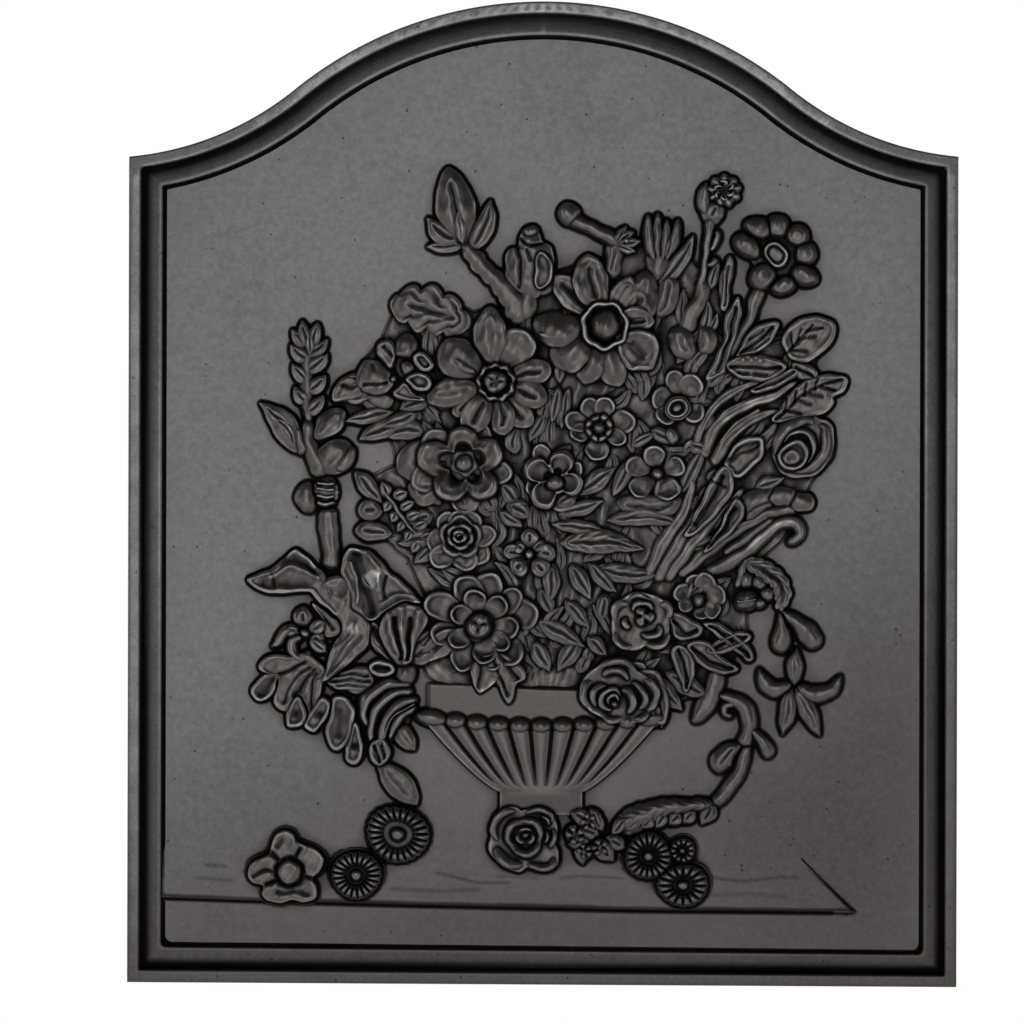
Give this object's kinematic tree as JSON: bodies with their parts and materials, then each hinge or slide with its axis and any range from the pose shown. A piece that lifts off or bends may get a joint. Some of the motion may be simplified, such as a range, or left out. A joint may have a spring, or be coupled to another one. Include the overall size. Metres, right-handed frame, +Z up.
{
  "type": "fireback",
  "caption": "Upright cast-iron fireback with an arched top, square shoulders, a raised border and an urn of flowers in low relief.",
  "frame": {"origin": "centre of the foot of the plate, at mid depth, on the surface it stands on", "axes": "+Z up, the face with the relief looks along -Y, +X to the right seen from the front"},
  "size_m": [0.508, 0.021, 0.6019],
  "materials": {
    "field_iron": "satin",
    "border_iron": "satin",
    "relief_iron": "satin"
  },
  "bodies": {
    "root": {"back_plate": "field_iron", "border_left": "border_iron", "border_right": "border_iron", "border_foot": "border_iron", "border_arch": "border_iron", "table_top": "field_iron", "urn_neck": "relief_iron", "urn_beads": "relief_iron", "urn_bowl": "relief_iron", "urn_foot": "relief_iron", "daffodil": "relief_iron", "anemone": "relief_iron", "star_bloom": "relief_iron", "dahlia": "relief_iron", "upper_rose": "relief_iron", "lower_rose": "relief_iron", "wild_rose": "relief_iron", "primrose": "relief_iron", "periwinkle": "relief_iron", "violet": "relief_iron", "rosette": "relief_iron", "small_rose": "relief_iron", "small_lily": "relief_iron", "half_bloom": "relief_iron", "leaf_bud": "relief_iron", "rose_bud": "relief_iron", "carnation_bud": "relief_iron", "tulip_bud": "relief_iron", "thistle": "relief_iron", "top_daisy": "relief_iron", "bulb_bud": "relief_iron", "poppy_bud": "relief_iron", "berry_spray": "relief_iron", "flower_spike": "relief_iron", "spike_stem": "relief_iron", "left_star": "relief_iron", "trumpet_lily": "relief_iron", "parrot_tulip": "relief_iron", "star_lily": "relief_iron", "oak_leaf": "relief_iron", "left_sprays": "relief_iron", "right_leaves": "relief_iron", "stem_sheaf": "relief_iron", "curled_leaves": "relief_iron", "middle_leaves": "relief_iron", "lower_leaves": "relief_iron", "left_foliage": "relief_iron", "drop_leaves": "relief_iron", "vine_handle": "relief_iron", "foot_garland": "relief_iron", "foot_rose": "relief_iron", "left_foot_daisy": "relief_iron", "right_foot_daisy": "relief_iron", "fallen_bloom": "relief_iron", "low_daisy": "relief_iron", "high_daisy": "relief_iron"}
  },
  "joints": []
}
